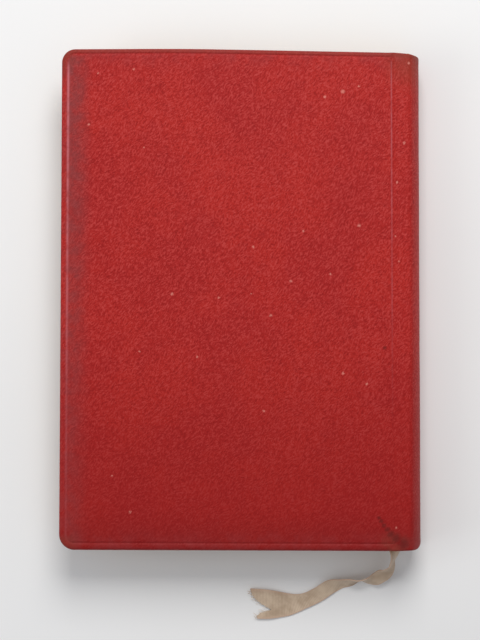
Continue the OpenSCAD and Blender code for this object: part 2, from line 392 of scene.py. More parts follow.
def leather():
    """Red grained leather, rubbed at its edges and marked by use, with painted shade and painted
    glints in its colour.
    """
    s = Shader("cover_leather", 0.5, 0.16)
    at = s.place()
    inset = s.value("inset")
    pressed = s.value("pressed")

    # Straight grain: short wrinkles drawn out along a diagonal, over a finer pebble
    drift = s.scaled(s.add("TexNoise", {"Vector": at, "Scale": 1 / 7}).outputs["Color"], (3, 3, 0))
    bent = s.plus(at, drift)
    drawn = s.turned(bent, -48, (0.42, 1.0, 0.6))
    wrinkle = s.noise(drawn, 0.37, 2, 0.55)
    crossed = s.noise(s.turned(bent, -75, (0.55, 1.0, 0.6)), 0.29, 2, 0.6)
    pebble = s.noise(at, 0.26, 2, 0.6)
    grain = s.math("ADD", s.times(wrinkle, 0.55), s.times(crossed, 0.3))
    grain = s.math("ADD", grain, s.times(pebble, 0.2))

    # Colour: broad patches, a mottle and the grain, whose hollows hold painted shade and whose
    # ridges hold painted glints
    patch = s.noise(at, 20, 3, 0.55)
    mottle = s.noise(at, 3.2, 3, 0.6)
    colour = s.mix((0.36, 0.011, 0.01), (0.415, 0.015, 0.0105), s.range(patch, 0.35, 0.65))
    colour = s.mix(colour, (0.335, 0.013, 0.013), s.range(mottle, 0.45, 0.75, 0.0, 0.4))
    # Painted shade in the grain's hollows, then painted glints on its ridges
    colour = s.mix(colour, (0.25, 0.005, 0.0045), s.range(grain, 0.52, 0.42, 0.0, 0.72))
    colour = s.mix(colour, (0.5, 0.048, 0.043), s.range(grain, 0.52, 0.62, 0.0, 0.7))

    # Painted shade: darker towards the tail, and darkest at the tail's edge, where less light falls
    across, along = s.add("SeparateXYZ", {0: at}).outputs[:2]
    colour = s.mix(colour, (0.25, 0.004, 0.004), s.range(along, 5, -78, 0.0, 0.6))
    colour = s.mix(colour, (0.14, 0.004, 0.004), s.range(along, -57, -70, 0.0, 0.32))

    # Rubbed and dusty near the edges, with painted shade in the pressed lines and the crease
    rubbed = s.times(s.range(inset, 7.0, 0.8, 0.0, 1.0), s.range(mottle, 0.3, 0.7))
    colour = s.mix(colour, (0.28, 0.035, 0.037), s.times(rubbed, 0.35))
    dulled = s.times(s.range(across, FORE + 9.5, FORE + 4), s.range(inset, 1.2, 2.4))
    dulled = s.times(dulled, s.range(mottle, 0.3, 0.7, 0.5, 1.0))
    dulled = s.times(dulled, s.range(along, -50, 60, 0.25, 0.65))
    colour = s.mix(colour, (0.18, 0.04, 0.042), dulled)
    # Painted shade in the pressed lines and the crease
    colour = s.mix(colour, (0.24, 0.006, 0.006), s.times(pressed, 0.15))
    # Painted highlight: pale pink glints on the fore-edge line and beside the crease
    polish = s.times(s.value("polish"), s.range(s.noise(at, 2.6, 3), 0.3, 0.6, 0.45, 0.95))
    colour = s.mix(colour, (0.58, 0.165, 0.185), polish)

    # Brown where the corners are worn
    wander = s.plus(at, s.noise(at, 1.6, 3))
    marks = [(x + NOISE_SHIFT, y + NOISE_SHIFT, 4.2) for x, y in WORN_CORNERS]
    corners = spots(s, wander, marks, 0.75)
    worn = s.times(corners, s.range(mottle, 0.35, 0.65))
    colour = s.mix(colour, (0.2, 0.035, 0.018), s.times(worn, 0.5))

    rolled = s.times(s.range(inset, 1.6, 0.9), s.range(along, 58, 66))
    colour = s.mix(colour, (0.2, 0.03, 0.02), s.times(rolled, 0.55))
    cap = spots(s, wander, [(SPINE - 2.0, END - 3.5, 6.0)], 0.8)
    colour = s.mix(colour, (0.24, 0.04, 0.022), s.times(cap, 0.5))

    # Light specks and dark stains
    wander = s.plus(at, s.noise(at, 0.5, 2))
    light, dark = (0.8, 0.3, 0.24), (0.06, 0.008, 0.006)
    for marks, soft, tint in ((SPECKS, 0.6, light), (STAINS, 0.7, dark)):
        marks = [(x + NOISE_SHIFT, y + NOISE_SHIFT, radius) for x, y, radius in marks]
        there = spots(s, wander, marks, soft, TOP + NOISE_SHIFT)
        colour = s.mix(colour, tint, s.times(there, 0.5))

    normal = s.bump(grain, 0.26, 0.85)
    normal = s.bump(mottle, 0.1, 0.4, normal)
    rough = s.range(grain, 0.35, 0.7, 0.62, 0.46)
    return s.finish(colour, normal, rough, Sheen_Weight=0.01, Sheen_Roughness=0.4)


def paper(name, light, dark, moved=True):
    """Paper with a faint mottle, foxing and fibres."""
    s = Shader(name, 0.8, 0.25)
    at = s.place(moved)
    colour = s.mix(dark, light, s.range(s.noise(at, 30, 3, 0.55), 0.3, 0.65))
    fox = s.range(s.noise(at, 1.8, 3, 0.6), 0.68, 0.82, 0.0, 0.35)
    colour = s.mix(colour, (0.42, 0.27, 0.13), fox)
    fibre = s.noise(s.scaled(at, (1.0, 0.25, 1.0)), 0.22, 3, 0.7)
    colour = s.mix(colour, dark, s.range(fibre, 0.45, 0.75, 0.0, 0.35))
    return s.finish(colour, s.bump(fibre, 0.02, 0.5))


def gilt():
    """Dull gilding on the leaves' edges, rubbed through to the paper in places."""
    s = Shader("gilt_edge", 0.42, 0.5)
    at = s.place()
    rub = s.noise(at, 9, 4, 0.62)
    streak = s.noise(s.scaled(at, (0.35, 0.35, 5.0)), 1.2, 3, 0.65)
    gold = s.mix((0.5, 0.32, 0.105), (0.66, 0.46, 0.18), s.range(streak, 0.35, 0.65))
    bare = s.times(s.range(rub, 0.52, 0.66), s.range(streak, 0.3, 0.6))
    colour = s.mix(gold, (0.66, 0.55, 0.37), bare)
    s.set(s.bsdf, "Metallic", s.math("SUBTRACT", 0.85, s.times(bare, 0.8)))
    return s.finish(colour, s.bump(streak, 0.03, 0.6), s.range(rub, 0.4, 0.7, 0.34, 0.6))


def woven(name, light, dark, pitch, rough=0.85, moved=True, open_weave=False):
    """Plain weave: over and under threads of that pitch in millimetres."""
    s = Shader(name, rough, 0.2)
    at = s.place(moved)
    wobble = s.noise(at, 3.0, 2)
    at = s.plus(at, s.times(wobble, 0.25))
    split = s.add("SeparateXYZ", {0: at})
    turn = math.pi / pitch
    warp = s.math("SINE", s.times(split.outputs[0], turn))
    weft = s.math("SINE", s.times(split.outputs[1], turn))
    both = s.times(warp, weft)
    ridge = s.math("ADD", s.math("ABSOLUTE", warp), s.math("ABSOLUTE", weft))
    height = s.math("ADD", s.times(ridge, 0.35), s.times(both, 0.3))
    shade = s.range(ridge, 0.35, 1.3 if open_weave else 0.95)
    colour = s.mix(dark, light, shade)
    tint = s.range(s.noise(at, 7, 3), 0.3, 0.7, 0.0, 0.35)
    colour = s.mix(colour, dark, tint)
    return s.finish(colour, s.bump(height, pitch * 0.25, 0.8), Sheen_Weight=0.15)


def board():
    """Grey-brown pasteboard."""
    s = Shader("cover_board", 0.9, 0.2)
    at = s.place(moved=False)
    fibre = s.noise(s.scaled(at, (1.0, 0.4, 1.0)), 0.5, 4, 0.7)
    colour = s.mix((0.2, 0.15, 0.1), (0.38, 0.31, 0.21), s.range(fibre, 0.3, 0.7))
    return s.finish(colour, s.bump(fibre, 0.05, 0.6))


def thread():
    """Linen thread with its plies twisted round each other."""
    s = Shader("sewing_thread", 0.75, 0.25)
    at = s.place(moved=False)
    twist = s.add("VectorMath", {0: at, 1: (4.0, 14.0, 9.0)}, operation="DOT_PRODUCT")
    ply = s.math("SINE", twist.outputs["Value"])
    colour = s.mix((0.5, 0.43, 0.3), (0.78, 0.71, 0.57), s.range(ply, -1, 1))
    return s.finish(colour, s.bump(ply, 0.03, 0.6))


def band_silk():
    """Silk wrapped over a cord, gold and red by turns."""
    s = Shader("band_silk", 0.42, 0.5)
    at = s.place()
    turns = s.value("turns")
    strand = s.noise(s.scaled(at, (1, 6, 6)), 0.5, 2)
    gold = s.mix((0.46, 0.29, 0.085), (0.7, 0.5, 0.2), strand)
    red = s.mix((0.22, 0.014, 0.012), (0.4, 0.035, 0.028), strand)
    which = s.range(s.math("SINE", s.times(turns, math.pi / 3)), -0.15, 0.15)
    return s.finish(s.mix(gold, red, which), s.bump(strand, 0.02, 0.5), Sheen_Weight=0.3)


def ribbon_silk():
    """Faded silk with fine ribs across the ribbon and a firmer edge on each side."""
    s = Shader("ribbon_silk", 0.55, 0.35)
    at = s.place()
    along, across = s.value("along"), s.value("across")
    rib = s.math("SINE", s.times(along, 2 * math.pi / 0.42))
    warp = s.math("SINE", s.times(across, 2 * math.pi / 0.25))
    fade = s.noise(at, 5.0, 3, 0.6)
    colour = s.mix((0.47, 0.345, 0.24), (0.68, 0.535, 0.395), s.range(fade, 0.3, 0.7))
    colour = s.mix(colour, (0.3, 0.2, 0.13), s.range(rib, -0.2, -1.0, 0.0, 0.4))
    edge = s.range(s.math("ABSOLUTE", across), 1.6, 2.05, 0.0, 0.5)
    colour = s.mix(colour, (0.58, 0.38, 0.28), edge)
    height = s.math("ADD", s.times(rib, 0.5), s.times(warp, 0.2))
    return s.finish(colour, s.bump(height, 0.05, 0.7), Sheen_Weight=0.25, Sheen_Roughness=0.35)


LEATHER = leather()
PAGE = paper("page_paper", (0.79, 0.71, 0.53), (0.7, 0.6, 0.42))
ENDPAPER = paper("endpaper", (0.78, 0.71, 0.56), (0.68, 0.6, 0.45))
ENDPAPER_FIXED = paper("endpaper_pasted", (0.76, 0.69, 0.54), (0.66, 0.58, 0.43), moved=False)
LINING = paper("lining_paper", (0.42, 0.29, 0.17), (0.32, 0.21, 0.12), moved=False)
GILT = gilt()
BOARD = board()
MULL = woven(
    "mull_cloth", (0.76, 0.71, 0.59), (0.42, 0.35, 0.24), 0.55, moved=False, open_weave=True
)
TAPE = woven("tape_linen", (0.66, 0.57, 0.4), (0.4, 0.32, 0.2), 0.3, moved=False)
THREAD = thread()
BAND = band_silk()
RIBBON = ribbon_silk()

# ---- leather covers


def edge_distance(x, y):
    """Distance in from the three free edges of a cover, and how far the nearest one faces
    the fore-edge: 1 there, 0 at the head and tail."""
    side = np.abs(y)
    radius = np.where(y > 0, HEAD_CORNER, TAIL_CORNER)
    gap_x, gap_y = x - FORE, END - side
    corner = (gap_x < radius) & (gap_y < radius)
    dx, dy = radius - gap_x, radius - gap_y
    reach = np.hypot(dx, dy)
    inset = np.where(corner, radius - reach, np.minimum(gap_x, gap_y))
    facing = np.where(corner, dx**2 / np.maximum(reach, 1e-6) ** 2, (gap_x < gap_y) * 1.0)
    return np.maximum(inset, 0), facing


def rounded(x, y, left, end, head_r, tail_r):
    """Plan of a rectangular grid with its two corners at the fore-edge drawn in to arcs."""
    radius = np.where(y > 0, head_r, tail_r)
    a = np.clip((left + radius - x) / radius, 0, 1)
    b = np.clip((np.abs(y) - end + radius) / radius, 0, 1)
    inside = (a > 0) & (b > 0)
    round_x = left + radius - radius * a * np.sqrt(1 - b * b / 2)
    round_y = np.sign(y) * (end - radius + radius * b * np.sqrt(1 - a * a / 2))
    return np.where(inside, round_x, x), np.where(inside, round_y, y)


def end_droop(x, y, lean):
    """How far the leather's ends draw in towards the rounded corners of the spine. lean is the
    share of a head edge that also falls away towards the spine."""
    across = np.clip(x - (SPINE - SPINE_CORNER), 0, SPINE_CORNER)
    corner = SPINE_CORNER - np.sqrt(SPINE_CORNER**2 - across**2)
    sag = np.where(y > 0, 0.4, 0.15) * smooth((x - CREASE) / 6)
    run = np.minimum(x, 44) + 15
    slope = np.where(y > 0, lean * 0.0125 * (run + np.hypot(run, 8)), 0)
    return -np.sign(y) * (corner + sag + slope) * smooth((np.abs(y) - 52) / (END - 52))


def groove(distance, width):
    """Section of a pressed line: 1 in its middle."""
    return np.exp(-((distance / width) ** 2))


def tooled(x, y, inset, facing, worn):
    """Depth of the blind lines, and of the crease where the cover bends."""
    line_at = facing * FORE_LINE + (1 - facing) * np.where(y > 0, HEAD_LINE, TAIL_LINE)
    depth = 0.17 + 0.04 * waves(x, y, 11, 3)
    if worn:
        depth = np.where(facing > 0.5, ramp(y, -60, 60, 0.1, 0.2), depth)
        depth = depth * (0.45 + 0.55 * np.abs(2 * facing - 1) ** 3)
    depth = depth * smooth((CREASE - x) / 0.5)
    lines = depth * groove(inset - line_at, 0.3)
    press = ramp(y, -55, 60, 0.07, DEEPEST_LINE) if worn else 0.2 + 0 * y
    crease = press * groove(x - CREASE, 0.42) * smooth((inset - 0.3) / 1.2)
    return np.maximum(lines, crease)


def hinge_share(x):
    """0 over the board and 1 in the thin leather of the hinge."""
    return smooth((x - BOARD_END) / 0.9)


def thickness(x, inset):
    """Thickness of the leather with its turn-in, over the board and in the hinge."""
    over_board = np.where(inset < TURN_IN, COVER_T, LEATHER_T - 0.05)
    in_hinge = ramp(inset, 0.65, 1.0, LIP_T, LEATHER_T)
    share = hinge_share(x)
    return over_board * (1 - share) + in_hinge * share


def edge_fall(inset, x, edge_t):
    """How far the surface falls over the rounded edge."""
    reach = ROLL + (0.6 - ROLL) * hinge_share(x)
    part = np.clip((reach - inset) / reach, 0, 1)
    return edge_t / 2 * (1 - np.sqrt(np.maximum(1 - part**2, 0)))


def cover_grid():
    """Grid lines of a cover, closer together over its edges, lines and turn-ins."""
    near = [(0, 0.05), (0.1, 0.1), (0.7, 0.15), (1.0, 0.09), (2.5, 0.25), (4.5, 0.7)]
    edge = spaced(*near, (TURN_IN - 0.1, 0.1), (TURN_IN, 0.02), (TURN_IN + 0.02, None))
    mid_x = spaced((FORE + TURN_IN + 0.02, 1.1), (BOARD_END - 0.4, 0.12), (44.0, 0.3), (SEAM, None))
    xs = np.concatenate([FORE + edge, mid_x[1:]])
    half = spaced((0, 1.25), (END - TURN_IN - 0.02, None))
    ends = np.concatenate([half, END - edge[::-1][1:]])
    return xs, mirrored(ends)


def cover_skin(name, place, seed, worn, replaced):
    """Leather of one cover from the fore-edge to the seam on the spine's shoulder."""
    xs, ys = cover_grid()
    gx, gy = crossed(xs, ys)
    x, y = rounded(gx, gy, FORE, END, HEAD_CORNER, TAIL_CORNER)
    inset, facing = edge_distance(x, y)
    rim = (gx == xs[0]) | (np.abs(gy) == END)
    inset = np.where(rim, 0, inset)
    lines = tooled(x, y, inset, facing, worn)
    swell = 0.07 * waves(x, y, 26, seed) + 0.03 * waves(x, y, 7, seed + 1)
    if place is front:  # inwards only, so that it stays above the floor
        swell = np.minimum(swell - 0.1, 0)
    swell = swell * smooth(inset / 3) * smooth((44.6 - x) / 2)
    thick = thickness(x, inset)
    edge_t = thickness(x, 0 * inset)
    fall = edge_fall(inset, x, edge_t)
    drift = end_droop(x, y, 1.0 if worn else 0.0)
    outer = np.stack([x, y + drift, MID - fall - lines + swell], -1)
    inner = np.stack([x, y + drift, MID - thick + fall], -1)
    verts, faces, used = slab(outer, inner, rim)
    pressed = on_slab(used, lines / DEEPEST_LINE, 0 * lines)
    # Painted highlight: glints along the fore-edge line, stronger towards the head, and beside the
    # crease
    bright = facing * groove(inset - FORE_LINE - 0.15, 0.32) * ramp(y, -60, 62, 0.12, 0.9)
    bright = bright * smooth((68 - y) / 3)
    joint = groove(x - CREASE + 0.3, 0.17) * ramp(y, -45, 50, 0.0, 0.6) * smooth(inset - 2)
    bright = np.maximum(bright, joint) if worn else 0 * bright
    polish = on_slab(used, bright, 0 * bright)
    both = on_slab(used, inset)
    piece = make(name, place(verts), faces, LEATHER, inset=both, pressed=pressed, polish=polish)
    bend_over(piece)
    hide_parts(replaced)
    return piece


cover_skin("rear_cover_skin", rear, 1, True, "rear_cover_leather")
cover_skin("front_cover_skin", front, 5, False, "front_cover_leather")


def rear_board():
    """Board of the rear cover, drawn in at the head with the leather round it."""
    lo, hi = low("rear_cover_board"), high("rear_cover_board")
    cover = END - hi.y
    near, edge, far = 9.05, 9.1, 9.15  # how far in the turn-in's edge lies, and lines beside it
    xs = spaced((lo.x, 0.4), (lo.x + 4, 2.0), (FORE + near, 0.1), (FORE + far, 2.0), (hi.x, None))
    half = spaced((0, 2.0), (END - far, 0.1), (END - near, 2.0), (hi.y - 4, 0.4), (hi.y, None))
    ys = mirrored(half)
    gx, gy = crossed(xs, ys)
    x, y = rounded(gx, gy, lo.x, hi.y, HEAD_CORNER - cover, TAIL_CORNER - cover)
    under_turn_in = np.minimum(x - FORE, END - np.abs(y)) < edge
    y = y + end_droop(x, y, 1.0)
    outer = np.stack([x, y, hi.z - MID + 0 * x], -1)
    inner = np.stack([x, y, lo.z - MID + np.where(under_turn_in, 0.4, 0.0)], -1)
    verts, faces, _ = slab(outer, inner)
    piece = make("rear_board_sheet", rear(verts), faces, BOARD, "rear_cover", smooth_deg=30)
    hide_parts("rear_cover_board")


rear_board()

# ---- leather over the spine

ARC = SPINE_R * SHOULDER_ANGLE
TURN = SHOULDER_R * (math.pi / 2 - SHOULDER_ANGLE)


def spine_section(s):
    """Points and outward normals of the spine's outer face; s is the length along it from
    its middle, up towards the rear cover."""
    side, run = np.sign(s), np.abs(s)
    angle = run / SPINE_R
    bend = SHOULDER_ANGLE + (run - ARC) / SHOULDER_R
    on_arc, on_turn = run <= ARC, (run > ARC) & (run <= ARC + TURN)
    turn = np.where(on_arc, angle, np.where(on_turn, bend, math.pi / 2))
    cx = np.where(on_arc, SPINE_CX, SHOULDER_X)
    ch = np.where(on_arc, 0, SHOULDER_H)
    radius = np.where(on_arc, SPINE_R, SHOULDER_R)
    x = cx + radius * np.cos(turn)
    x = np.where(run > ARC + TURN, SHOULDER_X - (run - ARC - TURN), x)
    h = (ch + radius * np.sin(turn)) * side
    return x, h, np.cos(turn), np.sin(turn) * side


def spine_skin():
    """Leather over the spine, from one cover's seam to the other's."""
    reach = ARC + TURN + SHOULDER_X - SEAM
    half = spaced((0, 0.12), (1.2, 0.3), (ARC, 0.15), (ARC + TURN, 0.2), (reach, None))
    run = mirrored(half)
    edge = spaced((0, 0.05), (0.1, 0.1), (1.2, 0.4), (4, 1.0), (10, None))
    ends = np.concatenate([spaced((0, 2.0), (END - 10, None)), END - edge[::-1][1:]])
    ys = mirrored(ends)
    gs, gy = crossed(run, ys)
    x, h, nx, nh = spine_section(gs)
    inset = END - np.abs(gy)
    rim = np.abs(gy) == END
    thick = ramp(inset, 0.65, 1.0, LIP_T, LEATHER_T)
    part = np.clip((0.6 - inset) / 0.6, 0, 1)
    fall = LIP_T / 2 * (1 - np.sqrt(np.maximum(1 - part**2, 0)))
    swell = 0.05 * np.minimum(waves(gs, gy, 9, 11) - 1, 0)
    swell = swell * smooth(inset / 3) * smooth((reach - 1.0 - np.abs(gs)) / 1.5)
    y = gy + end_droop(x, gy, smooth(h / 6))
    down = fall - swell
    outer = np.stack([x - nx * down, y, h - nh * down], -1)
    down = thick - fall
    inner = np.stack([x - nx * down, y, h - nh * down], -1)
    verts, faces, used = slab(outer, inner, rim)
    both = on_slab(used, inset)
    none = 0 * both
    piece = make("spine_skin", rear(verts), faces, LEATHER, inset=both, pressed=none, polish=none)
    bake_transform(piece)
    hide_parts("spine_leather_lower", "spine_leather_upper")


spine_skin()


def spine_layer(name, half_name, node, outer_down, thick, material):
    """One layer glued inside half of the spine; it ends where its leather does."""
    lo, hi = low(node), high(node)
    reach = ARC + TURN + SHOULDER_X - lo.x
    run = spaced((0.15, 0.5), (ARC, 0.2), (ARC + TURN, 0.4), (reach, None))
    half = spaced((0, 4.0), (50, 1.0), (hi.y, None))
    ys = mirrored(half)
    gs, gy = crossed(run, ys)
    x, h, nx, nh = spine_section(gs)
    y = gy + end_droop(x, gy, smooth(h / 6) * (half_name == "upper"))
    outer = np.stack([x - nx * outer_down, y, h - nh * outer_down], -1)
    down = outer_down + thick
    inner = np.stack([x - nx * down, y, h - nh * down], -1)
    verts, faces, _ = slab(outer, inner)
    piece = make(name, HALVES[half_name](verts), faces, material, f"{half_name}_block")
    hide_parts(node)


for half_name in HALVES:
    node = f"spine_lining_{half_name}"
    spine_layer(f"{node}_sheet", half_name, node, 0.62, 0.41, LINING)
    node = f"mull_{half_name}"
    spine_layer(f"{node}_sheet", half_name, node, 1.03, 0.15, MULL)

# ---- text block

LEAVES = 8
rng = np.random.default_rng(7)


def fold_x(h):
    """X of the folds at that height."""
    return SPINE_CX + np.sqrt(FOLD_R**2 - h**2)


LEAF_W = fold_x(MID - BLOCK_Z) - LEAF_FORE


def outline(left, right, end, radius, step=5.0):
    """Plan of a leaf, round from the spine at the tail to the spine at the head."""
    tail = [(x, -end) for x in np.arange(right, left + radius, -step)]
    head = [(x, end) for x in np.arange(left + radius, right, step)] + [(right, end)]
    fore = [(left, y) for y in np.linspace(-end + radius, end - radius, 27)]
    turn = np.radians(np.arange(9, 90, 9))
    low_arc = [
        (left + radius - radius * math.sin(t), -end + radius - radius * math.cos(t)) for t in turn
    ]
    high_arc = [
        (left + radius - radius * math.cos(t), end - radius + radius * math.sin(t)) for t in turn
    ]
    return tail + [(left + radius, -end)] + low_arc + fore + high_arc + head


def section(k, place, number, body):
    """One sewn section, counted in from its cover: leaves whose edges show as fine ridges."""
    h0 = MID - BLOCK_Z - k * SECTION_T
    h1 = h0 - SECTION_T
    hm = (h0 + h1) / 2
    fold_end = SPINE_CX + math.sqrt((FOLD_R - SECTION_T / 2 - 0.02) ** 2 - hm**2)
    rings, levels = [], np.linspace(h0, h1, 2 * LEAVES + 1)
    for i, h in enumerate(levels):
        between = i % 2 == 0
        swell = math.sqrt(max((SECTION_T / 2) ** 2 - (h - hm) ** 2, 0))
        left = fold_x(h) - LEAF_W
        back = 0.045 if between else 0.0
        shift = rng.uniform(0, 0.05, 3) if not between else (0.02, 0.02, 0.02)
        ring = np.array(outline(LEAF_FORE, LEAF_ROOT, LEAF_END, LEAF_CORNER))
        on_fore = smooth((LEAF_ROOT - ring[:, 0]) / 90.0)
        x = ring[:, 0] + (left - LEAF_FORE) * on_fore
        x = np.where(ring[:, 0] >= LEAF_ROOT, fold_end + swell - 0.02, x)
        x = x + (back + shift[0]) * smooth((-40 - ring[:, 0]) / 6)
        near_end = smooth((np.abs(ring[:, 1]) - 60) / 6)
        y = ring[:, 1] - np.sign(ring[:, 1]) * (back + shift[1]) * near_end
        rings.append(np.stack([x, y, np.full(len(x), h)], 1))
    count = len(rings[0])
    verts = np.concatenate(rings)
    faces, kinds = [], []
    for i in range(len(rings) - 1):
        for j in range(count):
            a, b = i * count + j, i * count + (j + 1) % count
            faces.append([a, b, b + count, a + count])
            kinds.append(0 if j == count - 1 else 1)
    faces += [list(range(count))[::-1], list(range(len(verts) - count, len(verts)))]
    kinds += [0, 0]
    if k == 0:  # the outermost section also fills the shoulder
        turn = np.radians(np.linspace(90, -20, 7))
        profile = [(42.9, h0 - 0.1), (42.9, MID - 1.65)]
        turned = SHOULDER_X + 0.37 * np.cos(turn), SHOULDER_H + 0.37 * np.sin(turn)
        profile += list(zip(*turned))
        profile += [(47.0, h0 - 0.1)]
        base, size = len(verts), len(profile)
        ends = [[(x, y, h) for x, h in profile] for y in (-LEAF_END + 0.03, LEAF_END - 0.03)]
        verts = np.concatenate([verts, *ends])
        for j in range(size):
            a, b = base + j, base + (j + 1) % size
            faces.append([a, b, b + size, a + size])
            kinds.append(0)
        faces += [[base + j for j in range(size)], [base + size + j for j in range(size)][::-1]]
        kinds += [1, 1]
    piece = make("leaves_%02d" % number, place(verts), faces, [PAGE, GILT], body)
    piece.data.polygons.foreach_set("material_index", kinds)
    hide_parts("section_%02d" % number)


for number in range(1, 2 * SECTIONS + 1):
    if number <= SECTIONS:
        section(number - 1, front, number, "lower_block")
    else:
        section(2 * SECTIONS - number, rear, number, "upper_block")

# ---- endpapers and joints


def strip(path, thick, ys):
    """Closed thin strip along Y whose middle line in X and h is path, thick across it."""
    path = np.array(path, float)
    way = np.gradient(path, axis=0)
    way /= np.linalg.norm(way, axis=1)[:, None]
    off = np.stack([-way[:, 1], way[:, 0]], 1) * thick / 2
    outer, inner = [
        np.stack(
            [
                np.repeat(p[:, :1], len(ys), 1),
                np.repeat(ys[None], len(path), 0),
                np.repeat(p[:, 1:], len(ys), 1),
            ],
            -1,
        )
        for p in (path + off, path - off)
    ]
    return slab(outer, inner)


def flyleaf(name, place, seed, body, node):
    """Free endpaper leaf: a little wavy, and turned down at its root to meet the joint."""
    corner = LEAF_FORE + LEAF_CORNER
    xs = spaced((LEAF_FORE, 0.3), (corner, 1.5), (40.5, 0.15), (CREASE - 0.05, None))
    half = spaced((0, 2.0), (LEAF_END - LEAF_CORNER, 0.3), (LEAF_END, None))
    ys = mirrored(half)
    gx, gy = crossed(xs, ys)
    x, y = rounded(gx, gy, LEAF_FORE, LEAF_END, LEAF_CORNER, LEAF_CORNER)
    drop = ramp(x, 40.6, CREASE, 0, 0.28)
    h = MID - LEAF_Z + drop + 0.07 * waves(x, y, 22, seed)
    outer, inner = np.stack([x, y, h + 0.04], -1), np.stack([x, y, h - 0.04], -1)
    verts, faces, _ = slab(outer, inner)
    piece = make(name, place(verts), faces, ENDPAPER, body)
    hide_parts(node)


flyleaf("front_flyleaf_paper", front, 21, "front_endleaf", "front_flyleaf")
flyleaf("rear_flyleaf_paper", rear, 24, "rear_endleaf", "rear_flyleaf")


def joint_paper(name, place):
    """Fold of the endpaper over the inside of the hinge."""
    base = MID - PAPER_Z
    path = [
        (40.6, base - 0.03), (41.3, base - 0.03), (41.7, base), (42.0, base + 0.06),
        (42.3, base + 0.16), (42.6, base + 0.28), (42.9, base + 0.36), (43.3, base + 0.4),
        (44.2, base + 0.42),
    ]
    ys = np.linspace(-LEAF_END + 0.1, LEAF_END - 0.1, 41)
    verts, faces, _ = strip(path, 0.08, ys)
    piece = make(name, place(verts), faces, ENDPAPER)
    bend_over(piece)


joint_paper("front_joint_paper", front)
joint_paper("rear_joint_paper", rear)


def middle_leaves():
    """The two facing leaves where the book opens, joined at their fold."""
    left = fold_x(0) - LEAF_W + 0.05
    level = 0.125
    turn = np.radians(np.linspace(80, -80, 9))
    tip = [(49.4 + level * math.cos(t), level * math.sin(t)) for t in turn]
    flat = list(spaced((left, 0.4), (left + LEAF_CORNER, 3.0), (LEAF_ROOT, 0.8), (49.3, None)))
    path = [(x, level) for x in flat] + tip + [(x, -level) for x in flat[::-1]]
    half = spaced((0, 4.0), (LEAF_END - LEAF_CORNER, 0.4), (LEAF_END - 0.05, None))
    verts, faces, _ = strip(path, 0.03, mirrored(half))
    x, y = rounded(verts[:, 0], verts[:, 1], left - 0.02, LEAF_END - 0.05, LEAF_CORNER, LEAF_CORNER)
    verts = np.stack([x, y, verts[:, 2]], 1)
    piece = make("middle_leaves", rear(verts), faces, PAGE)
    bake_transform(piece)


middle_leaves()

# ---- bands at head and tail


def end_band(name, place, side, body, node):
    """Silk wound in close turns round a cord, along the ends of the folds."""
    lo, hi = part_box(node)
    thick = (hi.y - lo.y) / MM
    y0 = (lo.y + hi.y) / 2 / MM
    y0 -= side * thick * 0.2
    thick *= 0.6
    radius = FOLD_R - thick / 2
    sides, per_wrap = 16, 6
    first = math.asin(0.28 / FOLD_R)
    last = math.asin((MID - BLOCK_Z - 0.2) / FOLD_R)
    pitch = 0.3
    wraps = round((last - first) * radius / pitch)
    rings, turns = [], []
    steps = wraps * per_wrap
    for i in range(steps + 1):
        share = i / steps
        a = first + (last - first) * share
        r = thick / 2 * (0.86 + 0.14 * abs(math.sin(math.pi * share * wraps)))
        if i in (0, steps):
            r *= 0.8
        for j in range(sides):
            t = 2 * math.pi * j / sides
            out = radius + r * math.cos(t)
            rings.append((SPINE_CX + out * math.cos(a), y0 + r * math.sin(t), out * math.sin(a)))
            turns.append(share * wraps)
    piece = make(name, place(rings), tube_faces(steps + 1, sides), BAND, body, turns=turns)
    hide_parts(node)


for half_name, place in HALVES.items():
    for end_name, side in (("head", 1), ("tail", -1)):
        node = f"{end_name}band_{half_name}"
        end_band(f"{end_name}band_silk_{half_name}", place, side, f"{half_name}_block", node)

# ---- ribbon

# Middle line of the free tail, and by how many degrees it is rolled about that line at each point
TAIL_ROUTE = np.array([
    (43.25, -68, 7.4), (43.25, -69.5, 7.3), (43.25, -71, 7), (43, -72.5, 6.5),
    (42.5, -74, 5.8), (42, -75.5, 5), (41, -77, 4.2), (39.5, -78, 3.5),
    (38, -79, 2.9), (36, -79.5, 2.5), (33.5, -79.5, 2.2), (31, -80, 1.8),
    (28, -80.5, 1.3), (25, -81.5, 0.9), (22, -83.5, 0.5), (19, -85, 0.4),
    (16, -86, 0.3), (13, -86.5, 0.3), (9.5, -86.5, 0.4), (6, -86.5, 0.5),
    (2, -86, 0.6),
])
TAIL_ROLL = [0, 20, 50, 68, 75, 60, 40, 25, 30, 60, 85, 60, 48, 15, 4, 0, 0, 0, 0, 0, 0]
# The swallowtail: its notch, where that is across the ribbon from -1 to 1, its two tips, and how
# far the cut bulges between them
NOTCH = np.array((8.5, -88, 0.4))
NOTCH_ACROSS = -0.3
UPPER_TIP = np.array((2.5, -82, 0.7))
LOWER_TIP = np.array((4.5, -90.5, 0.5))
LOBE_BULGE = 1.5


def curve_through(points, per_span):
    """Smooth curve through the points, as many rows as spans times per_span, plus one."""
    points = np.asarray(points, float)
    if points.ndim == 1:
        points = points[:, None]
    ends = np.vstack([2 * points[0] - points[1], points, 2 * points[-1] - points[-2]])
    rows = []
    for i in range(len(points) - 1):
        p0, p1, p2, p3 = ends[i : i + 4]
        for t in np.arange(per_span) / per_span:
            rows.append(
                0.5 * (2 * p1 + (p2 - p0) * t + (2 * p0 - 5 * p1 + 4 * p2 - p3) * t**2
                       + (3 * p1 - p0 - 3 * p2 + p3) * t**3)
            )
    return np.array(rows + [points[-1]])


